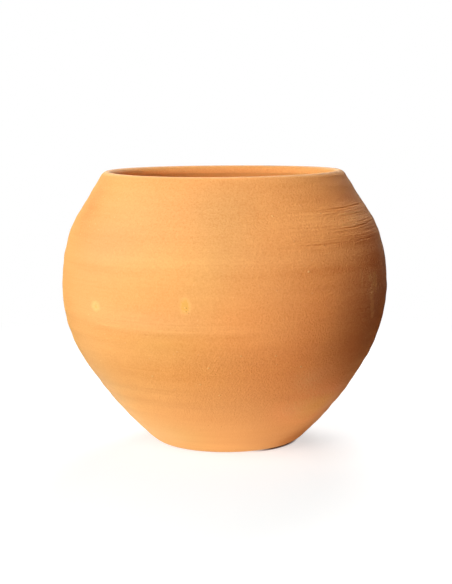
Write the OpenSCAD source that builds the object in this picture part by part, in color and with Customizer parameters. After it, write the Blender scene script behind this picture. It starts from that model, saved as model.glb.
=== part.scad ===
// Ball planter: a round-bellied flower pot thrown in one piece of terracotta.
// The clay is one solid of revolution. Its cross-section is a chain of arcs and straight lines
// that run smoothly into each other: foot, flank, hip, ball, shoulder and lip on the outside,
// and the same again one wall thickness further in.

/* [Size] */
// Height from the ground to the crest of the lip
height = 335; // [310:5:360]
// Diameter at the widest point
belly_d = 400; // [380:5:430]
// Height of the widest point above the ground
belly_z = 198; // [188:1:208]
// Diameter of the mouth, measured at the crest of the lip
mouth_d = 285; // [260:5:300]
// Diameter of the flat face that the pot stands on
foot_d = 154; // [140:2:170]

/* [Outline] */
// Height at which the ball gives way to the straight shoulder
shoulder_z = 273; // [263:1:283]
// Radius of the turn between those two
shoulder_r = 108; // [90:2:130]
// Radius of the turn between the ball and the flank below it
hip_r = 172; // [150:2:185]
// Angle below the widest point at which that turn starts
hip_from = 5; // [3:1:9]
// Radius of the slow bow of the flank, from the hip to the foot
flank_r = 434; // [400:2:500]
// Radius of the edge between the flank and the foot
foot_r = 25; // [18:1:30]

/* [Wall] */
// Thickness of the wall at the belly
wall_t = 11; // [9:0.5:14]
// Thickness of the rounded lip
lip_t = 13; // [11:0.5:15]
// Thickness of the floor, from the foot's plane to the soil side
floor_t = 16; // [13:0.5:20]
// Diameter of the flat of the floor, inside the pot
floor_d = 104; // [90:2:120]
// Radius of the corner between the floor and the wall, inside the pot
floor_r = 50; // [40:1:60]

/* [Finger rings] */
// Height from one ring that the thrower's fingers left inside to the next
ring_pitch = 15; // [12:1:20]
// Depth of those rings
ring_depth = 0.8; // [0.4:0.1:1.2]

/* [Drainage] */
// Diameter of the drain hole in the middle of the floor
drain_d = 25; // [18:1:32]
// Width of the bevel around both ends of the drain hole
drain_bevel = 1.5; // [1:0.5:3]
// Diameter of the hollow under the floor, inside the foot
hollow_d = 118; // [100:2:130]
// Depth of that hollow
hollow_h = 3; // [2:0.5:5]

/* [Hidden] */

$fn = 180;
clay = [0.92, 0.65, 0.40];

// How far a large arc and the small arc of the lip turn between two points of the outline
arc_step = 2;
lip_step = 6;
// Distance between two points of the inside wall, which gives each finger ring six of them
point_gap = ring_pitch / 6;
// Cuts reach this far past the faces that they go through
past = 1;

// Radii of the outside, and of the inside one wall thickness in
belly_r = belly_d / 2;
belly_in = belly_r - wall_t;
shoulder_in = shoulder_r - wall_t;
hip_in = hip_r - wall_t;
flank_in = flank_r - wall_t;
lip_r = lip_t / 2;

// Centres of the arcs, as [distance from the axis, height]
ball_c = [0, belly_z];
hip_c = polar(ball_c, belly_r - hip_r, -hip_from);
lip_c = [mouth_d / 2, height - lip_r];
foot_c = [foot_d / 2, foot_r];
floor_c = [floor_d / 2, floor_t + floor_r];

// The flank's arcs, which run smoothly into the hip and into the foot or the floor's corner
flank_c = around(hip_c, hip_r, foot_c, foot_r, flank_r);
flank_in_c = around(hip_c, hip_in, floor_c, floor_r, flank_in);

// The straight shoulder runs from the lip towards the ball at this angle above its widest point,
// and its normal leans by slope_out outside and by slope_in inside
corner_a = asin((shoulder_z - belly_z) / belly_r);
slope_out = leaning(polar(ball_c, belly_r, corner_a), lip_c, lip_r);
slope_in = leaning(polar(ball_c, belly_in, corner_a), lip_c, -lip_r);

// Angles at which the turn into the shoulder starts, and the centres of that turn
turn_out = turning(belly_r, shoulder_r, slope_out);
turn_in = turning(belly_in, shoulder_in, slope_in);
shoulder_c = polar(ball_c, belly_r - shoulder_r, turn_out);
shoulder_in_c = polar(ball_c, belly_in - shoulder_in, turn_in);

// The two ends of the straight stretch inside, under the lip
lip_end = polar(lip_c, lip_r, slope_in + 180);
slope_end = polar(shoulder_in_c, shoulder_in, slope_in);

// Point at distance r and angle a from the point c
function polar(c, r, a) = c + r * [cos(a), sin(a)];

// Angle of the direction from one point to another
function bearing(from, to) = atan2(to.y - from.y, to.x - from.x);

// Angle of the normal of the line from point p that touches a circle on its outer side,
// or on its inner side if its radius is given as negative
function leaning(p, c, r) = bearing(p, c) - acos(-r / norm(c - p));

// Angle at which a turn of radius r leaves a ball of radius ball_r, so that it runs smoothly into
// the straight shoulder whose normal leans by slope
function turning(ball_r, r, slope) =
    slope - acos((ball_r * cos(slope - corner_a) - r) / (ball_r - r));

// Centre of the circle of radius r that runs smoothly into both circles and goes round them,
// with that centre on the axis side
function around(c1, r1, c2, r2, r) =
    let (gap = norm(c2 - c1),
         to1 = r - r1,
         to2 = r - r2,
         along = (gap * gap + to1 * to1 - to2 * to2) / (2 * gap),
         aside = sqrt(to1 * to1 - along * along),
         way = (c2 - c1) / gap)
    c1 + along * way + aside * [way.y, -way.x];

// Points of an arc about c, from one angle to the other
function arc(c, r, from, to, step) =
    let (n = max(2, ceil(abs(to - from) / step)))
    [for (i = [0 : n]) polar(c, r, from + (to - from) * i / n)];

// The same with points close enough to each other to follow the finger rings
function fine_arc(c, r, from, to) = arc(c, r, from, to, point_gap / r * 180 / PI);

// Points strictly between two points, close enough to each other to follow the finger rings
function fine_line(p, q) =
    let (n = ceil(norm(q - p) / point_gap))
    [for (i = [1 : n - 1]) p + (q - p) * i / n];

// Share of the finger rings' depth at a height, from 0 on a ridge to 1 in a groove,
// with the topmost ridge at the lower edge of the lip
function ring(z) = pow(sin(180 * (lip_end.y - z) / ring_pitch), 2);

// A point of the inside wall, pressed into the clay away from the axis by the finger rings
function pressed(p) = p + [ring_depth * ring(p.y), 0];

// Outside of the pot, from the foot up to the start of the lip
outside = concat(
    arc(foot_c, foot_r, -90, bearing(flank_c, foot_c), arc_step),
    arc(flank_c, flank_r, bearing(flank_c, foot_c), bearing(flank_c, hip_c), arc_step),
    arc(hip_c, hip_r, bearing(flank_c, hip_c), -hip_from, arc_step),
    arc(ball_c, belly_r, -hip_from, turn_out, arc_step),
    arc(shoulder_c, shoulder_r, turn_out, slope_out, arc_step));

// The rounded lip, from its outer side over the crest to its inner side
lip = arc(lip_c, lip_r, slope_out, slope_in + 180, lip_step);

// Inside of the pot, from under the lip down to the floor
inside = concat(
    fine_line(lip_end, slope_end),
    fine_arc(shoulder_in_c, shoulder_in, slope_in, turn_in),
    fine_arc(ball_c, belly_in, turn_in, -hip_from),
    fine_arc(hip_c, hip_in, -hip_from, bearing(flank_in_c, hip_c)),
    fine_arc(flank_in_c, flank_in, bearing(flank_in_c, hip_c), bearing(flank_in_c, floor_c)),
    arc(floor_c, floor_r, bearing(flank_in_c, floor_c), -90, arc_step));

// Underside, from the axis out to the foot's inner edge; the side of the hollow leans at 45 degrees
underside = [
    [0, floor_t],
    [0, hollow_h],
    [hollow_d / 2 - hollow_h, hollow_h],
    [hollow_d / 2, 0]
];

module cross_section() {
    polygon(concat(outside, lip, [for (p = inside) pressed(p)], underside));
}

// A straight hole with a bevel at each end, through the floor
module drain_hole() {
    hole_r = drain_d / 2;
    translate([0, 0, hollow_h - past])
        cylinder(h = floor_t - hollow_h + 2 * past, r = hole_r);
    translate([0, 0, floor_t - drain_bevel])
        cylinder(h = drain_bevel + past, r1 = hole_r, r2 = hole_r + drain_bevel + past);
    translate([0, 0, hollow_h - past])
        cylinder(h = drain_bevel + past, r1 = hole_r + drain_bevel + past, r2 = hole_r);
}

module pot() {
    color(clay)
        difference() {
            rotate_extrude() cross_section();
            drain_hole();
        }
}

pot();
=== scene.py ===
from math import acos, asin, cos, pi, radians, sin, sqrt

import bpy
import numpy as np
from mathutils import Matrix, Vector


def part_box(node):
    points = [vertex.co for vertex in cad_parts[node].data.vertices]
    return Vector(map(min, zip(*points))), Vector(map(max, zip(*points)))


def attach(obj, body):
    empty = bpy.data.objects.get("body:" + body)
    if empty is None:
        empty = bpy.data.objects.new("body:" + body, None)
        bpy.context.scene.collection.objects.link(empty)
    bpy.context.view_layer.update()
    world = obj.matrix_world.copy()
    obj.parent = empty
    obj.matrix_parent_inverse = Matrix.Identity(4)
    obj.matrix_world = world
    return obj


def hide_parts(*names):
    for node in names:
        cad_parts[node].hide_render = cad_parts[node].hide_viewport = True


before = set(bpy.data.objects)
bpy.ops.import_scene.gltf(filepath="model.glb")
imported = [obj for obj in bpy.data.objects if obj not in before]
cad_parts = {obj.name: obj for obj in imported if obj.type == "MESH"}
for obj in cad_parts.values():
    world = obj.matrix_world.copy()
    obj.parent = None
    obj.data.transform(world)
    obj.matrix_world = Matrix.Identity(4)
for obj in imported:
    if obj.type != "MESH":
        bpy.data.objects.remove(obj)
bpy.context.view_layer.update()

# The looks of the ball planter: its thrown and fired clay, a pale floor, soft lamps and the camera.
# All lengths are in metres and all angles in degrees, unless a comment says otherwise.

pot_low, pot_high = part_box("pot")

# Sizes of the cross-section: the overall ones from the frame, the rest as the part's source has them
HEIGHT = pot_high.z
BELLY_R = (pot_high.x - pot_low.x) / 2
BELLY_Z = 0.198
MOUTH_R = 0.1425
FOOT_HALF = 0.077
SHOULDER_Z = 0.273
SHOULDER_R = 0.108
HIP_R = 0.172
HIP_FROM = 5
FLANK_R = 0.434
FOOT_R = 0.025
WALL_T = 0.011
LIP_R = 0.0065
FLOOR_T = 0.016
FLOOR_HALF = 0.052
FLOOR_R = 0.050
RING_PITCH = 0.015
RING_DEPTH = 0.0008
DRAIN_R = 0.0125
DRAIN_BEVEL = 0.0015
HOLLOW_HALF = 0.059
HOLLOW_H = 0.003

# The mesh: columns round the pot, and the way over the clay from one row to the next in each zone
COLUMNS = 190
ROW_GAPS = {
    "outside": 0.0017,
    "lip": 0.001,
    "inside": 0.0028,
    "floor": 0.003,
    "drain": 0.0014,
    "under": 0.0026,
}
# Between these heights of the outside, where the narrow scored lines lie, rows are closer together
MARKED_LOW = 0.2560
MARKED_HIGH = 0.2985
MARKED_GAP = 0.0005
# Distance between the points of the outline that the rows are picked from, how many points to
# each side give its direction, and how far along the clay a sharp edge is worn round
DENSE_GAP = 0.0001
TANGENT_REACH = 3
EDGE_SOFT = 0.0016

# The hand-made shape: how far along X the axis leans per metre of height, and how far the wall
# bows round one height. Both are negative, which is to the left in the photograph
LEAN = -0.0087
BOW = -0.0013
BOW_Z = 0.135
BOW_HALF = 0.060
# The rim's wave, its phase in radians and the height at which it sets in, and the wall's errors
# of roundness, each with its lobes round the pot, its share and its phase in radians
RIM_WAVE = 0.0005
RIM_WAVE_PHASE = 0.3
RIM_WAVE_FROM = 0.22
OUT_OF_ROUND = 0.0003
ROUND_ERRORS = [(2, 1.0, 0.6), (3, 0.5, 2.1)]

# Relief that the hands leave. Its waves are given as the longest and the shortest along the clay,
# how many, and how many times they wind round the pot at most
THROWING_RELIEF = 0.00022
THROWING_WAVES = (0.075, 0.017, 7, 2)
BRUSHED_RELIEF = 0.00002
BRUSHED_WAVES = (0.009, 0.003, 8, 3)
# The fine waves come and go with these larger ones, between two of their values
BRUSHED_PATCHES = (0.12, 0.05, 3, 2)
BRUSHED_WHERE = (-0.2, 0.9)
# The finger rings' depth as a share of the full one, how much that changes and in which waves,
# and the depth of the rings on the floor
RING_MEAN = 0.8
RING_CHANGE = 0.25
RING_WAVES = (0.2, 0.08, 3, 2)
FLOOR_RING_SHARE = 0.5
# Each wave swells and shrinks by this share, up to so many times round the pot
SWELL = 0.6
MOST_SWELLS = 3
# Where relief sets in: above the foot, below the lip and away from the drain hole
FOOT_CLEAR = (0.002, 0.012)
LIP_CLEAR = 0.03
DRAIN_CLEAR = (0.015, 0.024)
SCATTER_SEED = 11
RELIEF_SEED = 7

# The camera, as fitted to the outline in the photograph
PHOTO_W = 452
PHOTO_H = 584
FOCAL_PX = 1440.6
CAMERA_AT = (-0.0006, -1.7754, 0.4239)
CAMERA_PITCH = 7.693
CAMERA_ROLL = 0.449
SENSOR_MM = 36
CLIP_END = 50


# Cross-section, as complex numbers with the distance from the axis and the height


def polar(centre, radius, angle):
    """Point at a distance and angle from the centre."""
    return centre + radius * np.exp(1j * angle)


def bearing(start, end):
    """Angle of the direction from one point to another."""
    return np.angle(end - start)


def leaning(point, centre, radius):
    """Angle of the normal of the line from a point that touches a circle."""
    return bearing(point, centre) - acos(-radius / abs(centre - point))


def turning(ball_r, radius, slope, corner):
    """Angle at which a turn leaves the ball to run smoothly into the straight shoulder."""
    return slope - acos((ball_r * cos(slope - corner) - radius) / (ball_r - radius))


def around(centre1, radius1, centre2, radius2, radius):
    """Centre of the circle that runs smoothly into two others and goes round them."""
    gap = abs(centre2 - centre1)
    to1 = radius - radius1
    to2 = radius - radius2
    along = (gap**2 + to1**2 - to2**2) / (2 * gap)
    aside = sqrt(to1**2 - along**2)
    way = (centre2 - centre1) / gap
    return centre1 + (along - 1j * aside) * way


def arc(centre, radius, start, end):
    """Close points of an arc, without its last one."""
    count = max(2, round(abs(end - start) * radius / DENSE_GAP))
    return polar(centre, radius, np.linspace(start, end, count, endpoint=False))


def line(start, end):
    """Close points of a straight line, without its last one."""
    count = max(2, round(abs(end - start) / DENSE_GAP))
    return start + (end - start) * np.linspace(0, 1, count, endpoint=False)


def path(*corners):
    """Close points of the straight lines from corner to corner."""
    return np.concatenate([line(start, end) for start, end in zip(corners, corners[1:])])


def wall(offset, end_centre, end_radius, lip_side):
    """Points of one side of the wall, offset inside the outer one, from the lip down to a round
    corner, and the angle at which the lip starts or ends."""
    ball = 1j * BELLY_Z
    hip = polar(ball, BELLY_R - HIP_R, -radians(HIP_FROM))
    lip = MOUTH_R + 1j * (HEIGHT - LIP_R)
    corner = asin((SHOULDER_Z - BELLY_Z) / BELLY_R)
    ball_r = BELLY_R - offset
    shoulder_r = SHOULDER_R - offset
    slope = leaning(polar(ball, ball_r, corner), lip, lip_side * LIP_R)
    turn = turning(ball_r, shoulder_r, slope, corner)
    shoulder = polar(ball, ball_r - shoulder_r, turn)
    flank = around(hip, HIP_R - offset, end_centre, end_radius, FLANK_R - offset)
    lip_angle = slope if lip_side > 0 else slope + pi
    pieces = [
        line(polar(lip, LIP_R, lip_angle), polar(shoulder, shoulder_r, slope)),
        arc(shoulder, shoulder_r, slope, turn),
        arc(ball, ball_r, turn, -radians(HIP_FROM)),
        arc(hip, HIP_R - offset, -radians(HIP_FROM), bearing(flank, hip)),
        arc(flank, FLANK_R - offset, bearing(flank, hip), bearing(flank, end_centre)),
        arc(end_centre, end_radius, bearing(flank, end_centre), -pi / 2),
    ]
    return np.concatenate(pieces), lip_angle


def outline():
    """Points of the closed cross-section and each one's zone, from the foot up the outside."""
    outer, outer_lip = wall(0, FOOT_HALF + 1j * FOOT_R, FOOT_R, 1)
    inner, inner_lip = wall(WALL_T, FLOOR_HALF + 1j * (FLOOR_T + FLOOR_R), FLOOR_R, -1)
    drain_top = DRAIN_R + DRAIN_BEVEL + 1j * FLOOR_T
    drain_low = DRAIN_R + DRAIN_BEVEL + 1j * HOLLOW_H
    zones = {
        "outside": outer[::-1],
        "lip": arc(MOUTH_R + 1j * (HEIGHT - LIP_R), LIP_R, outer_lip, inner_lip),
        "inside": inner,
        "floor": path(FLOOR_HALF + 1j * FLOOR_T, drain_top),
        "drain": path(
            drain_top,
            DRAIN_R + 1j * (FLOOR_T - DRAIN_BEVEL),
            DRAIN_R + 1j * (HOLLOW_H + DRAIN_BEVEL),
            drain_low,
        ),
        "under": path(drain_low, HOLLOW_HALF - HOLLOW_H + 1j * HOLLOW_H, HOLLOW_HALF, FOOT_HALF),
    }
    names = np.concatenate([[name] * len(points) for name, points in zones.items()])
    return np.concatenate(list(zones.values())), names


def softened(points):
    """The closed outline with its sharp edges worn round."""
    reach = round(EDGE_SOFT / DENSE_GAP / 2)
    return sum(np.roll(points, shift) for shift in range(-reach, reach + 1)) / (2 * reach + 1)


def rows():
    """Place, normal, zone and way over the clay of each row of the mesh."""
    points, names = outline()
    points = softened(points)
    steps = np.abs(np.roll(points, -1) - points)
    gaps = np.array([ROW_GAPS[name] for name in names])
    marked = (names == "outside") & (points.imag > MARKED_LOW) & (points.imag < MARKED_HIGH)
    gaps[marked] = MARKED_GAP
    share = np.concatenate([[0], np.cumsum(steps / gaps)])
    count = int(share[-1])
    wanted = np.arange(count) * share[-1] / count
    chosen = np.searchsorted(share, wanted).clip(0, len(points) - 1)
    travelled = np.concatenate([[0], np.cumsum(steps)])[chosen]
    tangent = np.roll(points, -TANGENT_REACH) - np.roll(points, TANGENT_REACH)
    normal = (-1j * tangent / np.abs(tangent))[chosen]
    return points[chosen], normal, names[chosen], travelled


# Random but repeatable fields over the clay


def smoothstep(low, high, value):
    """0 below one value and 1 above another, and a smooth way between them."""
    share = np.clip((value - low) / (high - low), 0, 1)
    return share * share * (3 - 2 * share)


def window(start, end, soft, value):
    """1 from start to end and 0 outside, with soft edges."""
    begun = smoothstep(start - soft, start + soft, value)
    return begun * (1 - smoothstep(end - soft, end + soft, value))


def hump(centre, half_width, value):
    """1 at the centre, fading to 0 on both sides."""
    return np.exp(-(((value - centre) / half_width) ** 2))


def waves(rng, way, turn, longest, shortest, count, most_turns):
    """A smooth relief of about -1 to 1 that closes round the pot."""
    total = 0
    for length in np.geomspace(longest, shortest, count):
        turns = rng.integers(-most_turns, most_turns + 1)
        swells = rng.integers(1, MOST_SWELLS + 1)
        phase, swell_phase = rng.uniform(0, 2 * pi, 2)
        swell = 1 + SWELL * np.cos(swells * turn + swell_phase)
        total = total + swell * np.cos(2 * pi * way / length + turns * turn + phase)
    return total / sqrt(count)


# Marks on the outside. Azimuths run from the right, and -90 is the front. From about -165 to -10
# they are as the photograph shows them, and the others, on the back, are like them.

# Scored lines: azimuth and height where each starts and ends, depth and half width
SCORES = [
    (-62, 0.2944, -36, 0.2950, 0.00020, 0.0008),
    (-45, 0.2950, -29, 0.2958, 0.00042, 0.0005),
    (-31, 0.2960, -12, 0.2966, 0.00050, 0.0005),
    (-57, 0.2918, -29, 0.2934, 0.00014, 0.0006),
    (-48, 0.2894, -18, 0.2912, 0.00012, 0.0006),
    (-46, 0.2858, -24, 0.2866, 0.00008, 0.0006),
    (-50, 0.2800, -26, 0.2822, 0.00010, 0.0006),
    (-30, 0.2780, -12, 0.2798, 0.00022, 0.0006),
    (-67, 0.2718, -42, 0.2730, 0.00014, 0.0007),
    (-45, 0.2727, -30, 0.2734, 0.00050, 0.0005),
    (-34, 0.2740, -22, 0.2747, 0.00046, 0.0005),
    (-25, 0.2755, -12, 0.2762, 0.00036, 0.0005),
    (-52, 0.2690, -20, 0.2716, 0.00016, 0.0006),
    (-46, 0.2656, -16, 0.2680, 0.00014, 0.0007),
    (-40, 0.2622, -14, 0.2640, 0.00012, 0.0007),
    (-72, 0.2570, -22, 0.2592, 0.00024, 0.0008),
    (-83, 0.2720, -72, 0.2726, 0.00014, 0.0006),
    (-98, 0.2924, -81, 0.2926, 0.00006, 0.0007),
]

# Faint lines scattered over the front and the back: how many, between which azimuths and heights,
# the longest in degrees, the deepest and their half width
SCATTERED = [
    (30, -70, -14, 0.2575, 0.2975, 26, 0.00018, 0.0005),
    (8, -112, -70, 0.115, 0.126, 26, 0.00010, 0.0014),
    (10, 0, 168, 0.2575, 0.2940, 60, 0.00022, 0.0006),
    (4, 0, 168, 0.104, 0.126, 50, 0.00014, 0.0014),
]
# How much a scattered line rises per degree, and how much that varies
SCATTER_RISE = 0.00003
SCATTER_DRIFT = 0.00003
# Its length and its depth are each at least this share of the largest
SCATTER_LEAST = 0.3
# How softly a line's ends fade, how far it wavers, and how fast in radians over its length
SCORE_SOFT = 3
SCORE_WAVER = 0.0002
SCORE_WAVERS = 7
# The raised edge above a line: its height as a share of the depth, and how many half widths up
RIDGE_SHARE = 0.4
RIDGE_OFFSET = 1.8

# Where fine brushed lines lie close together: azimuths, heights and strength
BRUSHED = [
    (-66, -10, 0.252, 0.298, 1.0),
    (-132, -108, 0.113, 0.119, 0.6),
    (-126, -112, 0.080, 0.094, 0.45),
    (-142, -84, 0.160, 0.177, 0.5),
    (30, 90, 0.236, 0.276, 0.8),
    (100, 150, 0.094, 0.128, 0.7),
]

# Where the grit stands out more or less: azimuth, height, half widths round and up, and amount
GRIT = [
    (-86, 0.124, 26, 0.015, 0.50),
    (-58, 0.270, 26, 0.050, 0.30),
    (-100, 0.285, 26, 0.050, 0.20),
    (-150, 0.210, 32, 0.130, -0.52),
    (-30, 0.170, 20, 0.060, 0.60),
    (-42, 0.095, 26, 0.050, 0.22),
    (-86, 0.088, 26, 0.030, 0.20),
    (-42, 0.195, 20, 0.050, 0.25),
    (-90, 0.015, 80, 0.045, -0.80),
    (90, 0.015, 80, 0.045, -0.80),
    (64, 0.112, 30, 0.018, 0.50),
    (140, 0.250, 30, 0.060, -0.30),
]

# Paler and deeper places, in the same way: on the back those that the kiln left, on the front partly
# the clay's own tone and partly painted light and painted shade, most of all on the right and low
# down
SHADES = [
    (-118, 0.235, 20, 0.040, 0.25),
    (-152, 0.050, 13, 0.045, 0.35),
    (-155, 0.280, 16, 0.060, -0.60),
    (-100, 0.220, 14, 0.060, 0.20),
    (-45, 0.065, 14, 0.030, 0.30),
    (-125, 0.022, 30, 0.022, -0.15),
    (-100, 0.300, 9, 0.030, -0.10),
    (-14, 0.165, 12, 0.050, -0.80),
    (-128, 0.095, 26, 0.065, -0.15),
    (-135, 0.258, 16, 0.022, -0.30),
    (-115, 0.150, 14, 0.025, 0.15),
    (-30, 0.120, 10, 0.030, -0.20),
    (-30, 0.283, 16, 0.032, 0.45),
    (-13, 0.285, 7, 0.035, 0.70),
    (-15, 0.232, 8, 0.026, 0.80),
    (-27, 0.205, 7, 0.016, 0.50),
    (-86, 0.285, 10, 0.050, -0.15),
    (-90, 0.312, 28, 0.030, -0.20),
    (-55, 0.098, 9, 0.014, 0.50),
    (-34, 0.140, 13, 0.038, -0.85),
    (-42, 0.195, 9, 0.035, -0.40),
    (-28, 0.062, 10, 0.022, 0.20),
    (-160, 0.170, 9, 0.050, -0.30),
    (-160, 0.305, 9, 0.030, -0.35),
    (-30, 0.020, 14, 0.020, -0.50),
    (35, 0.090, 25, 0.050, -0.30),
    (80, 0.250, 30, 0.045, 0.30),
    (135, 0.120, 22, 0.050, 0.25),
]

# Paler and deeper bands, in the same way: on the back those that the thrower's fingers left, on the
# front partly painted light and painted shade, with painted shade along the foot's lower edge
BANDS = [
    (-38, 0.010, 14, 0.012, -1.00),
    (-128, 0.024, 24, 0.008, 0.25),
    (-44, 0.055, 14, 0.018, 0.35),
    (-128, 0.084, 20, 0.005, 0.22),
    (-130, 0.116, 22, 0.010, -0.18),
    (-134, 0.181, 20, 0.011, 0.18),
    (-132, 0.230, 22, 0.005, -0.25),
    (-50, 0.228, 20, 0.006, -0.45),
    (-38, 0.211, 14, 0.005, -0.20),
    (-38, 0.246, 14, 0.005, 0.22),
    (-36, 0.062, 14, 0.018, 0.15),
    (-90, 0.245, 70, 0.005, 0.25),
    (-40, 0.260, 18, 0.005, -0.25),
    (-125, 0.267, 30, 0.006, -0.17),
    (-62, 0.280, 18, 0.008, 0.25),
    (-36, 0.277, 16, 0.007, 0.60),
    (-36, 0.300, 16, 0.003, 0.30),
    (-26, 0.231, 8, 0.006, -0.60),
    (-25, 0.290, 8, 0.007, 0.45),
    (-26, 0.306, 8, 0.005, -0.60),
    (-42, 0.308, 18, 0.006, -0.50),
    (-50, 0.323, 25, 0.005, -0.45),
    (-132, 0.320, 25, 0.006, 0.15),
    (60, 0.180, 60, 0.007, 0.30),
    (100, 0.212, 50, 0.006, -0.35),
    (120, 0.290, 45, 0.007, 0.30),
    (50, 0.072, 40, 0.008, -0.30),
]

# Low swellings of the wall, in the same way, with how far they stand out
SWELLINGS = [
    (-35, 0.2665, 24, 0.010, 0.0009),
    (-48, 0.2365, 30, 0.006, 0.0003),
    (70, 0.2300, 35, 0.010, 0.0005),
    (140, 0.2700, 30, 0.009, 0.0005),
]

# Redder places, and yellower ones where the amount is negative, in the same way. On the front they
# are partly the clay's own colour and partly the hue of the painted light and shade there
WARMTH = [
    (-100, 0.220, 14, 0.060, -0.65),
    (-62, 0.165, 12, 0.075, 0.50),
    (-42, 0.290, 26, 0.035, 0.45),
    (-100, 0.110, 20, 0.035, 0.25),
    (-152, 0.270, 16, 0.060, 0.25),
    (-132, 0.025, 22, 0.025, -0.35),
    (-152, 0.060, 10, 0.060, -0.40),
    (-12, 0.215, 9, 0.050, -0.90),
    (-50, 0.075, 20, 0.045, 0.90),
    (-38, 0.062, 14, 0.018, 0.60),
    (-128, 0.095, 26, 0.065, -0.20),
    (-135, 0.258, 16, 0.022, 0.33),
    (-95, 0.270, 12, 0.060, -0.25),
    (-26, 0.190, 8, 0.030, -0.70),
    (-27, 0.135, 9, 0.035, -0.70),
    (-56, 0.185, 9, 0.045, 0.35),
    (-140, 0.240, 16, 0.090, -0.20),
    (-40, 0.068, 10, 0.022, 0.90),
    (-115, 0.022, 16, 0.020, -0.45),
    (-125, 0.022, 30, 0.022, -0.15),
    (-100, 0.300, 9, 0.030, -0.25),
    (-115, 0.150, 14, 0.025, -0.45),
    (-78, 0.115, 14, 0.045, 0.40),
    (-30, 0.283, 16, 0.032, 0.50),
    (-40, 0.062, 14, 0.020, 0.40),
    (-40, 0.175, 12, 0.040, -0.30),
    (-86, 0.285, 10, 0.050, -0.45),
    (-90, 0.312, 28, 0.030, -0.30),
    (-84, 0.175, 14, 0.035, 0.40),
    (-66, 0.120, 16, 0.035, 0.45),
    (-44, 0.205, 14, 0.055, 0.35),
    (60, 0.200, 25, 0.060, 0.50),
    (150, 0.080, 25, 0.050, 0.60),
]

# Chalkier places, and richer ones where the amount is negative, in the same way. On the front they
# are partly the clay's own colour and partly the hue of the painted light and shade there
CHALK = [
    (-100, 0.220, 14, 0.060, -0.30),
    (-62, 0.165, 12, 0.075, 0.15),
    (-95, 0.115, 24, 0.035, -0.25),
    (-122, 0.285, 20, 0.050, 0.40),
    (-152, 0.270, 14, 0.060, 0.30),
    (-34, 0.062, 12, 0.020, 0.40),
    (-135, 0.258, 16, 0.022, 0.40),
    (-26, 0.190, 8, 0.030, 0.50),
    (-26, 0.052, 9, 0.026, 0.90),
    (-42, 0.068, 9, 0.020, 0.70),
    (-38, 0.078, 13, 0.014, 0.50),
    (-140, 0.245, 14, 0.075, 0.20),
    (-58, 0.060, 10, 0.014, 0.60),
    (-42, 0.195, 9, 0.035, 0.25),
    (-26, 0.275, 9, 0.045, 0.25),
    (-160, 0.305, 9, 0.030, 0.30),
    (-162, 0.085, 8, 0.028, 0.70),
    (-115, 0.022, 16, 0.020, -0.30),
    (-14, 0.215, 8, 0.040, 0.40),
    (-112, 0.150, 18, 0.014, -0.30),
    (-120, 0.118, 22, 0.038, -0.28),
    (-120, 0.176, 22, 0.012, 0.25),
    (-78, 0.115, 14, 0.045, 0.14),
    (-30, 0.283, 16, 0.032, 0.40),
    (-36, 0.225, 10, 0.030, 0.25),
    (-55, 0.098, 9, 0.014, 0.35),
    (-12, 0.225, 9, 0.050, 0.40),
    (-130, 0.020, 22, 0.025, 0.20),
    (-152, 0.060, 10, 0.060, 0.35),
]

# Large grog grains and small pits: azimuth, height and radius
GROG_SPOTS = [
    (-118.8, 0.1085, 0.0015),
    (-96.3, 0.1220, 0.0017),
    (-100.0, 0.1010, 0.0014),
    (-92.9, 0.0869, 0.0014),
    (-72.7, 0.1353, 0.0014),
    (-62.0, 0.1190, 0.0017),
    (-84.9, 0.1368, 0.0014),
    (-61.6, 0.2297, 0.0017),
    (-71.7, 0.2918, 0.0014),
    (-50.6, 0.2916, 0.0014),
    (-33.0, 0.2760, 0.0014),
    (-103.2, 0.1892, 0.0013),
    (-103.0, 0.1930, 0.0012),
    (24.0, 0.1610, 0.0017),
    (57.0, 0.2460, 0.0014),
    (98.0, 0.0930, 0.0017),
    (131.0, 0.2050, 0.0015),
    (158.0, 0.1300, 0.0014),
]
# The painted shadow on the dark side of a large grain: how far round and below it lies, its radius
# and its strength
GROG_TURN = 0.65
GROG_DROP = 0.0005
GROG_DARK_R = 0.0009
GROG_DARK = 0.5
PIT_SPOTS = [
    (-53.6, 0.2570, 0.0012),
    (-102.5, 0.1888, 0.0012),
    (-101.7, 0.1866, 0.0012),
    (-102.4, 0.1925, 0.0010),
    (-138.0, 0.1884, 0.0010),
    (40.0, 0.1880, 0.0017),
    (112.0, 0.2740, 0.0014),
    (147.0, 0.1020, 0.0017),
]

# Low ledges left by the throwing rib: azimuths, height, depth of the step and over what height it
# fades below
LEDGES = [
    (-142, -80, 0.1622, 0.00006, 0.016),
    (-93, -76, 0.2312, 0.00005, 0.006),
    (-53, -35, 0.2305, 0.00010, 0.008),
    (20, 110, 0.1420, 0.00025, 0.018),
    (110, 168, 0.2240, 0.00015, 0.012),
]
# How far a ledge wavers and how often round the pot, and over which heights it steps in
LEDGE_WAVER = 0.0012
LEDGE_WAVERS = 5
LEDGE_STEP = (-0.001, 0.0022)
# How softly ledges and brushed lines end, round the pot and up it
MARK_SOFT = 6
BRUSHED_SOFT = 0.003

# Painted light on the band above the foot, as from the table below: azimuths and their soft ends,
# the heights over which it sets in and ends, and how much paler and redder it is
FOOT_BAND = (-68, -26, 7)
FOOT_BAND_START = (0.03, 0.06)
FOOT_BAND_EDGE = (0.071, 0.077)
FOOT_BAND_SHADE = 0.30
FOOT_BAND_WARMTH = 0.4
# The paler band above the first ledge, in the same way
LEDGE_BAND = (-140, -80, 8)
LEDGE_BAND_START = (0.1622, 0.1634)
LEDGE_BAND_EDGE = (0.163, 0.178)
LEDGE_BAND_SHADE = 0.25

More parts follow.
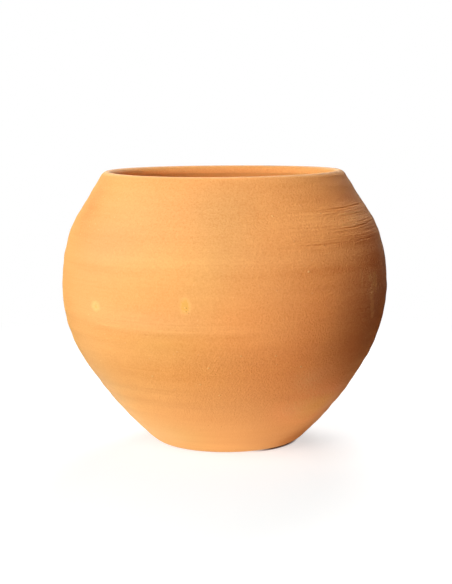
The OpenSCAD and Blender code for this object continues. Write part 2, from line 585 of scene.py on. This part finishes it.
# Painted shade in the scored grooves: the depth that counts as 1, the most that counts, the darkness
# that 1 has, and what it gains from one azimuth to another, on the side away from the lamps
SCORE_FULL = 0.00032
SCORE_MOST = 0.9
SCORE_DARK = 0.15
SCORE_DARKER = 0.5
SCORE_DARKER_FROM = (-60, -30)
# For the ledges, the depth that counts as 1 and how much darker the clay is below them
LEDGE_FULL = 0.0001
LEDGE_DARK = 0.40

# Pale mineral bloom: azimuth, height, half width and half height in metres, and strength
BLOOMS = [
    (-138.4, 0.1868, 0.0085, 0.0064, 0.55),
    (-102.8, 0.1950, 0.0072, 0.0105, 0.55),
    (-28.2, 0.2085, 0.0085, 0.0125, 0.90),
    (-31.4, 0.2140, 0.0055, 0.0045, 0.70),
    (-30.8, 0.1930, 0.0048, 0.0075, 0.75),
    (-29.6, 0.1790, 0.0060, 0.0080, 0.60),
    (-28.4, 0.1690, 0.0050, 0.0060, 0.60),
    (-37.3, 0.2170, 0.0025, 0.0240, 0.25),
    (71.0, 0.1520, 0.0075, 0.0055, 0.60),
    (118.0, 0.2280, 0.0060, 0.0110, 0.40),
]

# Darker, yellower hearts of the blooms, in the same way
HEARTS = [
    (-138.2, 0.1862, 0.0026, 0.0022, 0.45),
    (-102.9, 0.1945, 0.0052, 0.0080, 0.75),
    (71.4, 0.1522, 0.0030, 0.0024, 0.50),
]


def score_list(rng):
    """The scored lines of the photograph, and the ones scattered over the clay."""
    lines = list(SCORES)
    for count, first, last, low, high, longest, deepest, half in SCATTERED:
        for _ in range(count):
            length = longest * rng.uniform(SCATTER_LEAST, 1)
            start = rng.uniform(first, last - length)
            height = rng.uniform(low, high)
            rise = length * rng.normal(SCATTER_RISE, SCATTER_DRIFT)
            depth = deepest * rng.uniform(SCATTER_LEAST, 1)
            lines.append((start, height, start + length, height + rise, depth, half))
    return lines


def scored(lines, azimuth, z):
    """Depth of the scored lines at each place, with a raised edge above each."""
    depth = 0
    for start, start_z, end, end_z, deep, half in lines:
        share = (azimuth - start) / (end - start)
        height = start_z + (end_z - start_z) * share + SCORE_WAVER * np.sin(share * SCORE_WAVERS)
        groove = hump(height, half, z) - RIDGE_SHARE * hump(height + RIDGE_OFFSET * half, half, z)
        depth = depth + deep * window(start, end, SCORE_SOFT, azimuth) * groove
    return depth


def ledged(azimuth, z):
    """How far the clay is pressed in below the ledges."""
    depth = 0
    for start, end, edge, deep, fade in LEDGES:
        edge_z = edge + LEDGE_WAVER * np.sin(np.radians(azimuth) * LEDGE_WAVERS)
        under = edge_z - z
        below = smoothstep(*LEDGE_STEP, under) * np.exp(-np.clip(under, 0, None) / fade)
        depth = depth + deep * window(start, end, MARK_SOFT, azimuth) * below
    return depth


def brushed(azimuth, z):
    """Strength of the fine brushed lines, from 0 to 1."""
    total = 0
    for start, end, low, high, strength in BRUSHED:
        across = window(start, end, MARK_SOFT, azimuth)
        total = total + strength * across * window(low, high, BRUSHED_SOFT, z)
    return total


def clouded(places, azimuth, z):
    """Sum of soft clouds, each with its azimuth, height, half widths and amount."""
    total = 0
    for centre, height, half_w, half_h, amount in places:
        across = (azimuth - centre + 180) % 360 - 180
        total = total + amount * hump(0, half_w, across) * hump(height, half_h, z)
    return total


def painted_foot_light(azimuth, z):
    """1 on the band of painted light above the foot, whose upper edge is sharp, and 0 elsewhere."""
    below = 1 - smoothstep(*FOOT_BAND_EDGE, z)
    return window(*FOOT_BAND, azimuth) * below * smoothstep(*FOOT_BAND_START, z)


def ledge_band(azimuth, z):
    """1 on the paler band above the first ledge, whose lower edge is sharp, and 0 elsewhere."""
    above = window(*LEDGE_BAND, azimuth) * smoothstep(*LEDGE_BAND_START, z)
    return above * (1 - smoothstep(*LEDGE_BAND_EDGE, z))


def on_wall(azimuth, height):
    """Place on the outside of the leaning pot."""
    points, names = outline()
    side = points[names == "outside"]
    radius = np.interp(height, side.imag, side.real)
    turn = radians(azimuth)
    return radius * cos(turn) + LEAN * height, radius * sin(turn), height


def relief(way, turn, place, zone, lines, rng):
    """How far the clay stands out at each row and column, along the row's normal."""
    azimuth = np.degrees(turn)
    z = place.imag[:, None]
    radius = place.real[:, None]
    outside = (zone == "outside")[:, None] * smoothstep(*FOOT_CLEAR, z)
    inside = (zone == "inside")[:, None] * smoothstep(0, LIP_CLEAR, HEIGHT - LIP_R - z)
    floor = (zone == "floor")[:, None] * smoothstep(*DRAIN_CLEAR, radius)
    undulation = THROWING_RELIEF * waves(rng, way, turn, *THROWING_WAVES)
    brushing = BRUSHED_RELIEF * waves(rng, way, turn, *BRUSHED_WAVES)
    brushing = brushing * smoothstep(*BRUSHED_WHERE, waves(rng, way, turn, *BRUSHED_PATCHES))
    lobes = sum(share * np.cos(count * turn + phase) for count, share, phase in ROUND_ERRORS)
    marks = scored(lines, azimuth, z) + ledged(azimuth, z) - clouded(SWELLINGS, azimuth, z)
    # The rings are one spiral: once round the pot, each of them runs into the next
    ring_turn = pi * (HEIGHT - z) / RING_PITCH + turn / 2
    ring_strength = RING_MEAN + RING_CHANGE * waves(rng, way, turn, *RING_WAVES)
    rings = RING_DEPTH * ring_strength * np.sin(ring_turn) ** 2
    floor_rings = FLOOR_RING_SHARE * RING_DEPTH * np.sin(pi * radius / RING_PITCH + turn / 2) ** 2
    total = outside * (undulation + brushing + OUT_OF_ROUND * lobes - marks)
    return total - inside * (rings - undulation) - floor * floor_rings


def tones(azimuth, z, lines):
    """Lighter and darker places from about -1 to 1, partly painted light and shade."""
    deep = np.minimum(scored(lines, azimuth, z) / SCORE_FULL, SCORE_MOST)
    total = -deep * (SCORE_DARK + SCORE_DARKER * smoothstep(*SCORE_DARKER_FROM, azimuth))
    total = total - LEDGE_DARK * ledged(azimuth, z) / LEDGE_FULL
    total = total + LEDGE_BAND_SHADE * ledge_band(azimuth, z)
    total = total + FOOT_BAND_SHADE * painted_foot_light(azimuth, z)
    return total + clouded(SHADES, azimuth, z) + clouded(BANDS, azimuth, z)


def clay_fields(turn, place, zone, lines):
    """Values over the mesh that its material reads, by name."""
    azimuth = np.degrees(turn)
    z = place.imag[:, None]
    outside = (zone == "outside")[:, None]
    warmth = clouded(WARMTH, azimuth, z) + FOOT_BAND_WARMTH * painted_foot_light(azimuth, z)
    return {
        "tone": tones(azimuth, z, lines) * outside,
        "brushed": brushed(azimuth, z) * outside,
        "grit": 1 + clouded(GRIT, azimuth, z),
        "warmth": warmth * outside,
        "chalk": clouded(CHALK, azimuth, z) * outside,
        "hollow": np.isin(zone, ["inside", "floor"])[:, None] * np.ones_like(turn),
    }


def closed_mesh(name, x, y, z):
    """Mesh of quads over rows and columns that both close on themselves."""
    corners = np.arange(x.size).reshape(x.shape)
    beside = np.roll(corners, -1, axis=1)
    above = np.roll(corners, -1, axis=0)
    faces = np.stack([corners, beside, np.roll(above, -1, axis=1), above], axis=-1)
    points = np.stack([x, y, z], axis=-1)
    mesh = bpy.data.meshes.new(name)
    mesh.from_pydata(points.reshape(-1, 3).tolist(), [], faces.reshape(-1, 4).tolist())
    mesh.shade_smooth()
    return mesh


def pot_mesh():
    """The whole pot as one closed surface, with the values that its material reads."""
    place, normal, zone, way = rows()
    turn = (np.arange(COLUMNS) / COLUMNS * 2 * pi - pi)[None, :]
    lines = score_list(np.random.default_rng(SCATTER_SEED))
    out = relief(way[:, None], turn, place, zone, lines, np.random.default_rng(RELIEF_SEED))
    spot = place[:, None] + out * normal[:, None]
    lift = RIM_WAVE * np.cos(2 * turn + RIM_WAVE_PHASE) * smoothstep(RIM_WAVE_FROM, HEIGHT, spot.imag)
    z = spot.imag + lift
    x = spot.real * np.cos(turn) + LEAN * z + BOW * hump(BOW_Z, BOW_HALF, z)
    mesh = closed_mesh("thrown_pot", x, spot.real * np.sin(turn), z)
    for name, values in clay_fields(turn, place, zone, lines).items():
        layer = mesh.attributes.new(name, "FLOAT", "POINT")
        layer.data.foreach_set("value", values.astype(np.float32).ravel())
    return mesh


# Materials

# Numbers of the colour sockets on the node that mixes colours
MIX_FACTOR = 0
MIX_FIRST = 6
MIX_SECOND = 7
MIX_RESULT = 2
# How a pattern's shift is shared out over its three axes
SHIFT_WAYS = (1.0, 0.7, 1.3)
# Share of a grain's and of a spot's radius that is solid, before its edge fades
GRAIN_CORE = 0.45
SPOT_CORE = 0.4
# How much a patch's edge follows a noise, and where it starts and ends, in shares of its size
PATCH_ROUGH = 0.5
PATCH_OUTER = 1.25
PATCH_INNER = 0.55


class Shader:
    """The nodes of a material or a world, with a short call for each kind that is used here."""

    def __init__(self, owner):
        self.owner = owner
        owner.use_nodes = True
        self.tree = owner.node_tree
        self.tree.nodes.clear()

    def feed(self, socket, value):
        if isinstance(value, bpy.types.NodeSocket):
            self.tree.links.new(value, socket)
        else:
            socket.default_value = value

    def node(self, kind, inputs=None, **settings):
        made = self.tree.nodes.new("ShaderNode" + kind)
        for name, value in settings.items():
            setattr(made, name, value)
        for name, value in (inputs or {}).items():
            self.feed(made.inputs[name], value)
        return made

    def math(self, operation, *values, clamp=False):
        made = self.node("Math", operation=operation, use_clamp=clamp)
        for socket, value in zip(made.inputs, values):
            self.feed(socket, value)
        return made.outputs[0]

    def add(self, *values):
        total = values[0]
        for value in values[1:]:
            total = self.math("ADD", total, value)
        return total

    def scaled(self, value, factor):
        return self.math("MULTIPLY", value, factor)

    def weighted(self, layers, weights):
        """Sum of the layers that have a weight, each times that weight."""
        return self.add(*[self.scaled(layers[name], weight) for name, weight in weights.items()])

    def ramp(self, value, low, high, to_low=0.0, to_high=1.0):
        made = self.node("MapRange", interpolation_type="SMOOTHSTEP")
        ends = {"From Min": low, "From Max": high, "To Min": to_low, "To Max": to_high}
        for name, number in ends.items():
            made.inputs[name].default_value = number
        self.feed(made.inputs["Value"], value)
        return made.outputs["Result"]

    def mixed(self, factor, first, second, **settings):
        made = self.node("Mix", data_type="RGBA", **settings)
        self.feed(made.inputs[MIX_FACTOR], factor)
        self.feed(made.inputs[MIX_FIRST], first)
        self.feed(made.inputs[MIX_SECOND], second)
        return made.outputs[MIX_RESULT]

    def tinted(self, amount, colour, tint):
        """The colour multiplied by a tint, or divided by it where the amount is negative."""
        unclamped = {"clamp_factor": False, "clamp_result": True}
        return self.mixed(amount, colour, tint, blend_type="MULTIPLY", **unclamped)

    def blended(self, factor, first, second):
        """One surface or background that gives way to another."""
        made = self.node("MixShader", {"Fac": factor})
        self.feed(made.inputs[1], first)
        self.feed(made.inputs[2], second)
        return made.outputs[0]

    def length(self, vector):
        return self.node("VectorMath", {0: vector}, operation="LENGTH").outputs["Value"]

    def distance(self, place, point):
        return self.node("VectorMath", {0: place, 1: point}, operation="DISTANCE").outputs["Value"]

    def stretched(self, place, along, up, shift):
        made = self.node("VectorMath", operation="MULTIPLY_ADD")
        self.feed(made.inputs[0], place)
        made.inputs[1].default_value = (along, along, up)
        made.inputs[2].default_value = [shift * way for way in SHIFT_WAYS]
        return made.outputs[0]

    def noise(self, place, along, up, detail, rough, shift):
        """Noise of about -1 to 1, with along and up features per metre."""
        where = self.stretched(place, along, up, shift)
        inputs = {"Vector": where, "Scale": 1.0, "Detail": detail, "Roughness": rough}
        made = self.node("TexNoise", inputs)
        return self.math("MULTIPLY_ADD", made.outputs["Fac"], 2.0, -1.0)

    def grains(self, place, per_metre, size, share, shift):
        """1 on round grains that sit in a share of the cells, 0 elsewhere."""
        where = self.stretched(place, per_metre, per_metre, shift)
        made = self.node("TexVoronoi", {"Vector": where, "Scale": 1.0})
        chosen = self.node("SeparateColor", {"Color": made.outputs["Color"]})
        near = self.ramp(made.outputs["Distance"], size, size * GRAIN_CORE)
        picked = self.math("GREATER_THAN", chosen.outputs[0], 1 - share)
        return self.math("MULTIPLY", near, picked)

    def spots(self, place, places):
        """1 on round spots at the given places on the wall, 0 elsewhere."""
        total = 0.0
        for azimuth, height, radius in places:
            away = self.distance(place, on_wall(azimuth, height))
            total = self.math("ADD", self.ramp(away, radius, radius * SPOT_CORE), total)
        return total

    def patches(self, place, edge, places):
        """Strength of soft patches on the wall, whose edges follow a noise."""
        total = 0.0
        for azimuth, height, half_w, half_h, strength in places:
            spot = Vector(on_wall(azimuth, height))
            sizes = Vector((1 / half_w, 1 / half_w, 1 / half_h))
            inputs = {0: place, 1: sizes, 2: -spot * sizes}
            offset = self.node("VectorMath", inputs, operation="MULTIPLY_ADD")
            away = self.length(offset.outputs["Vector"])
            rough_away = self.math("MULTIPLY_ADD", edge, PATCH_ROUGH, away)
            patch = self.ramp(rough_away, PATCH_OUTER, PATCH_INNER, 0.0, strength)
            total = self.math("MAXIMUM", patch, total)
        return total

    def attribute(self, name):
        return self.node("Attribute", attribute_name=name).outputs["Fac"]

    def finish(self, surface, output="OutputMaterial"):
        self.node(output, {"Surface": surface})
        return self.owner


# The clay's deepest and palest colour, and where it lies between them if no layer adds to it
CLAY_DEEP = (0.780, 0.318, 0.083, 1)
CLAY_PALE = (0.990, 0.553, 0.194, 1)
CLAY_MIDDLE = 0.5
# What warmth and chalk multiply the clay's colour by
WARMER = (1.090, 0.965, 0.835, 1)
CHALKIER = (1.000, 1.050, 1.370, 1)
BLOOM_COLOUR = (0.990, 0.640, 0.240, 1)
HEART_COLOUR = (0.850, 0.490, 0.095, 1)
# Small grains, large grains and pits, and how much each covers the clay
GROG_COLOUR = (1.000, 0.660, 0.300, 1)
GROG_SHARE = 0.75
LARGE_GROG_COLOUR = (1.000, 0.650, 0.260, 1)
LARGE_GROG_SHARE = 0.95
# The pit colour also paints the large grains' shadows
PIT_COLOUR = (0.480, 0.190, 0.060, 1)
PIT_SHARE = 0.5
# The inside, just under the lip and further down, the heights between which one gives way to the
# other, how much both cover the clay, and the heights between which they fade away below
MOUTH_COLOUR = (0.685, 0.358, 0.108, 1)
MOUTH_LOW_COLOUR = (0.800, 0.345, 0.095, 1)
MOUTH_TURN = (0.316, 0.330)
MOUTH_SHARE = 0.6
MOUTH_FADE = (0.22, 0.30)
# Worn edges: how far below the lip's crest the wear starts and is full, and how far above the
# foot, and how much it covers the clay between two values of the coarse grain
WORN_COLOUR = (0.800, 0.500, 0.290, 1)
CREST_WORN = (0.0025, 0.0003)
FOOT_WORN = (0.004, 0.0005)
WORN_GRAIN = (-0.6, 0.4)
WORN_SHARES = (0.15, 0.55)
CLAY_ROUGHNESS = 0.88
GRAIN_ROUGHNESS = 0.06

# The clay's noises: features per metre along and up, detail, roughness and shift
NOISES = {
    "blotches": (10, 10, 3, 0.5, 0.0),
    "bands": (5, 95, 3, 0.5, 3.1),
    "streaks": (14, 430, 3, 0.6, 7.7),
    "grain": (500, 500, 3, 0.7, 4.4),
    "coarse_grain": (270, 270, 2, 0.6, 1.9),
}
# Small grains and pits: cells per metre, radius in cells, share of the cells with one, and shift
SMALL_GROG = (250, 0.20, 0.04, 0.0)
SMALL_PITS = (330, 0.16, 0.012, 5.3)
# How much each layer adds to the clay's shade, where 1 is the whole way from deep to pale
SHADE_SHARES = {
    "blotches": 0.12,
    "bands": 0.12,
    "streaks": 0.10,
    "brushed": 0.55,
    "grain": 0.55,
    "coarse_grain": 0.11,
    "tone": 0.5,
}
# How far each layer stands out of the clay
LUMPS = {
    "grain": 0.00060,
    "coarse_grain": 0.00025,
    "streaks": 0.00003,
    "brushed": 0.00015,
    "grog": 0.00040,
    "large_grog": 0.00060,
    "pits": -0.00050,
}


def clay_layers(clay, place):
    """The noises, grains, pits, painted grain shadows and marks of the clay, by name."""
    layers = {name: clay.noise(place, *settings) for name, settings in NOISES.items()}
    grit = clay.attribute("grit")
    for name in ("grain", "coarse_grain"):
        layers[name] = clay.math("MULTIPLY", layers[name], grit)
    layers["brushed"] = clay.math("MULTIPLY", layers["streaks"], clay.attribute("brushed"))
    layers["tone"] = clay.attribute("tone")
    layers["grog"] = clay.grains(place, *SMALL_GROG)
    layers["large_grog"] = clay.spots(place, GROG_SPOTS)
    # Painted shadows beside the large grains, on the side away from the lamps, go in with the pits
    beside = [(azimuth + GROG_TURN, z - GROG_DROP, GROG_DARK_R) for azimuth, z, _ in GROG_SPOTS]
    grain_shadows = clay.scaled(clay.spots(place, beside), GROG_DARK)
    small_pits = clay.grains(place, *SMALL_PITS)
    layers["pits"] = clay.add(small_pits, clay.spots(place, PIT_SPOTS), grain_shadows)
    return layers


def clay_colour(clay, place, layers):
    """The clay's colour, with painted light and shade, blooms, pits, grains with painted shadows and
    worn edges.
    """
    height = clay.node("SeparateXYZ", {"Vector": place}).outputs["Z"]
    factor = clay.math("ADD", clay.weighted(layers, SHADE_SHARES), CLAY_MIDDLE, clamp=True)
    colour = clay.mixed(factor, CLAY_DEEP, CLAY_PALE)
    colour = clay.tinted(clay.attribute("warmth"), colour, WARMER)
    colour = clay.tinted(clay.attribute("chalk"), colour, CHALKIER)

    mouth_colour = clay.mixed(clay.ramp(height, *MOUTH_TURN), MOUTH_LOW_COLOUR, MOUTH_COLOUR)
    mouth_share = clay.ramp(height, *MOUTH_FADE, 0.0, MOUTH_SHARE)
    in_mouth = clay.math("MULTIPLY", clay.attribute("hollow"), mouth_share)
    colour = clay.mixed(in_mouth, colour, mouth_colour)

    colour = clay.mixed(clay.patches(place, layers["coarse_grain"], BLOOMS), colour, BLOOM_COLOUR)
    colour = clay.mixed(clay.patches(place, layers["grain"], HEARTS), colour, HEART_COLOUR)
    pits = clay.math("MULTIPLY", layers["pits"], PIT_SHARE, clamp=True)
    colour = clay.mixed(pits, colour, PIT_COLOUR)
    colour = clay.mixed(clay.scaled(layers["grog"], GROG_SHARE), colour, GROG_COLOUR)
    large_grog = clay.math("MULTIPLY", layers["large_grog"], LARGE_GROG_SHARE, clamp=True)
    colour = clay.mixed(large_grog, colour, LARGE_GROG_COLOUR)

    crest = clay.ramp(height, *[HEIGHT - below for below in CREST_WORN])
    foot = clay.ramp(height, *FOOT_WORN)
    share = clay.ramp(layers["coarse_grain"], *WORN_GRAIN, *WORN_SHARES)
    worn = clay.math("MULTIPLY", clay.math("MAXIMUM", crest, foot), share)
    return clay.mixed(worn, colour, WORN_COLOUR)


def terracotta():
    """Unglazed fired clay, matt and gritty."""
    clay = Shader(bpy.data.materials.new("terracotta_thrown"))
    place = clay.node("TexCoord").outputs["Object"]
    layers = clay_layers(clay, place)
    lumps = clay.weighted(layers, LUMPS)
    bump = clay.node("Bump", {"Strength": 1.0, "Distance": 1.0, "Height": lumps})
    surface = clay.node(
        "BsdfPrincipled",
        {
            "Base Color": clay_colour(clay, place, layers),
            "Roughness": clay.math("MULTIPLY_ADD", layers["grain"], GRAIN_ROUGHNESS, CLAY_ROUGHNESS),
            "Diffuse Roughness": 0.8,
            "Specular IOR Level": 0.2,
            "Normal": bump.outputs["Normal"],
        },
    )
    return clay.finish(surface.outputs["BSDF"])


# Floor, world, lamps and camera

FLOOR_SIZE = 14
FLOOR_COLOUR = (0.50, 0.50, 0.50, 1)
# What the camera's view of the floor gains, and where that view fades into plain white
FLOOR_LIFT = 0.62
FLOOR_NEAR = 0.42
FLOOR_FAR = 1.0
# The floor's glow for all but camera rays, painted light in place of the white table's light on the
# clay above it, which ends at the table's edge
TABLE_GLOW = 0.81
TABLE_COLOUR = (1.0, 0.94, 0.92, 1)
TABLE_FULL = 0.20
TABLE_END = 0.30
# The pot's painted shadow on the table, which takes part of that glow away on the right
SHADE_AT = (0.16, 0.02, 0)
SHADE_FULL = 0.06
SHADE_END = 0.17
SHADE_SHARE = 0.80
# A painted bright patch on the table, which lights the flank above it more and in a warmer colour
BRIGHT_AT = (0.180, -0.125, 0)
BRIGHT_REACH = 0.12
BRIGHT_GAIN = 0.80
BRIGHT_COLOUR = (1.0, 0.84, 0.82, 1)
# Painted shadow on the floor in the crack between the foot and the floor, on the side away from the
# lamps: its middle, how far round it reaches and up to which share of that it is whole, and how far
# out of the foot it is full and ends. The floor under the pot has the same painted shadow
FOOT_SHADOW_COLOUR = (0.10, 0.035, 0.012, 1)
FOOT_SHADOW_AT = (0.076, -0.050, 0)
FOOT_SHADOW_REACH = 0.062
FOOT_SHADOW_CORE = 0.4
FOOT_SHADOW_FULL = 0.007
FOOT_SHADOW_END = 0.013
# Light of the world, and what a camera and mirrors see of it
AMBIENT = (0.03, 0.03, 0.03, 1)
WHITE = (1, 1, 1, 1)
# Lamps: azimuth, height above the horizon, distance, size, power in watts and colour
LAMPS = {
    "key_low": (-120, 14, 1.9, 1.15, 25.4, (0.95, 1.0, 1.0)),
    "key_high": (-130, 36, 1.9, 1.4, 20.0, (0.90, 1.0, 1.0)),
    "warm_front": (-79, 6, 2.1, 1.0, 6.9, (1.0, 0.38, 0.22)),
    "back": (80, 35, 1.9, 1.2, 46.0, (1.0, 1.0, 1.0)),
}


def floor_seen(floor, place, away):
    """What a camera sees: a matt floor with shadows and a painted one by the foot, fading into white
    further out.
    """
    beside = floor.ramp(floor.distance(place, FOOT_SHADOW_AT), FOOT_SHADOW_REACH, FOOT_SHADOW_REACH * FOOT_SHADOW_CORE)
    under = floor.ramp(away, FOOT_HALF + FOOT_SHADOW_END, FOOT_HALF + FOOT_SHADOW_FULL)
    open_floor = floor.math("SUBTRACT", 1.0, floor.math("MULTIPLY", beside, under))
    open_floor = floor.math("MULTIPLY", open_floor, floor.ramp(away, HOLLOW_HALF, FOOT_HALF))
    matt = floor.node("BsdfDiffuse", {"Color": floor.mixed(open_floor, FOOT_SHADOW_COLOUR, FLOOR_COLOUR)})
    lift = floor.node("Emission", {"Strength": floor.scaled(open_floor, FLOOR_LIFT)})
    near = floor.node("AddShader", {0: matt.outputs[0], 1: lift.outputs[0]})
    plain = floor.node("Emission", {"Strength": 1.0})
    return floor.blended(floor.ramp(away, FLOOR_NEAR, FLOOR_FAR), near.outputs[0], plain.outputs[0])


def table_glow(floor, place, away):
    """A glow in place of the light that a white table throws up at the clay, with painted shadow and
    light.
    """
    lit = floor.ramp(floor.distance(place, SHADE_AT), SHADE_FULL, SHADE_END, 1 - SHADE_SHARE, 1.0)
    bright = floor.ramp(floor.distance(place, BRIGHT_AT), BRIGHT_REACH, 0.0)
    gain = floor.math("MULTIPLY_ADD", bright, BRIGHT_GAIN, 1.0)
    table = floor.math("MULTIPLY", floor.ramp(away, TABLE_END, TABLE_FULL, 0.0, TABLE_GLOW), lit)
    strength = floor.math("MULTIPLY", table, gain)
    colour = floor.mixed(bright, TABLE_COLOUR, BRIGHT_COLOUR)
    return floor.node("Emission", {"Color": colour, "Strength": strength}).outputs[0]


def floor_material():
    floor = Shader(bpy.data.materials.new("pale_floor"))
    place = floor.node("TexCoord").outputs["Object"]
    away = floor.length(place)
    sees = floor.node("LightPath").outputs["Is Camera Ray"]
    glow = table_glow(floor, place, away)
    return floor.finish(floor.blended(sees, glow, floor_seen(floor, place, away)))


def make_floor():
    half = FLOOR_SIZE / 2
    corners = [(-half, -half, 0), (half, -half, 0), (half, half, 0), (-half, half, 0)]
    mesh = bpy.data.meshes.new("floor")
    mesh.from_pydata(corners, [], [(0, 1, 2, 3)])
    mesh.materials.append(floor_material())
    floor = bpy.data.objects.new("floor", mesh)
    bpy.context.collection.objects.link(floor)


def make_world():
    """Dim light from all round, and plain white for whatever looks at the background."""
    sky = Shader(bpy.data.worlds.new("studio"))
    rays = sky.node("LightPath").outputs
    sees = rays["Is Camera Ray"]
    for name in ("Is Glossy Ray", "Is Transmission Ray"):
        sees = sky.math("MAXIMUM", sees, rays[name])
    dim = sky.node("Background", {"Color": AMBIENT})
    white = sky.node("Background", {"Color": WHITE})
    backdrop = sky.blended(sees, dim.outputs[0], white.outputs[0])
    bpy.context.scene.world = sky.finish(backdrop, "OutputWorld")


def make_lamps():
    """Soft lamps round the pot that look at its middle."""
    centre = Vector((0, 0, BELLY_Z))
    for name, (azimuth, elevation, distance, size, power, colour) in LAMPS.items():
        light = bpy.data.lights.new(name, "AREA")
        light.shape = "DISK"
        light.size = size
        light.energy = power
        light.color = colour
        lamp = bpy.data.objects.new(name, light)
        turn = radians(azimuth)
        flat = cos(radians(elevation))
        towards = Vector((flat * cos(turn), flat * sin(turn), sin(radians(elevation))))
        lamp.location = centre + distance * towards
        lamp.rotation_euler = towards.to_track_quat("Z", "Y").to_euler()
        lamp.visible_camera = False
        bpy.context.collection.objects.link(lamp)


def make_camera():
    data = bpy.data.cameras.new("camera")
    data.sensor_width = SENSOR_MM
    data.lens = FOCAL_PX * SENSOR_MM / max(PHOTO_W, PHOTO_H)
    data.clip_end = CLIP_END
    camera = bpy.data.objects.new("camera", data)
    pitch = Matrix.Rotation(radians(90 - CAMERA_PITCH), 4, "X")
    roll = Matrix.Rotation(radians(-CAMERA_ROLL), 4, "Z")
    camera.matrix_world = Matrix.Translation(CAMERA_AT) @ pitch @ roll
    bpy.context.collection.objects.link(camera)
    bpy.context.scene.camera = camera


def make_pot():
    mesh = pot_mesh()
    mesh.materials.append(terracotta())
    pot_piece = bpy.data.objects.new("thrown_pot", mesh)
    bpy.context.collection.objects.link(pot_piece)
    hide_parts("pot")
    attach(pot_piece, "root")


make_camera()
make_pot()
make_floor()
make_world()
make_lamps()
bpy.context.scene.view_settings.view_transform = "Standard"
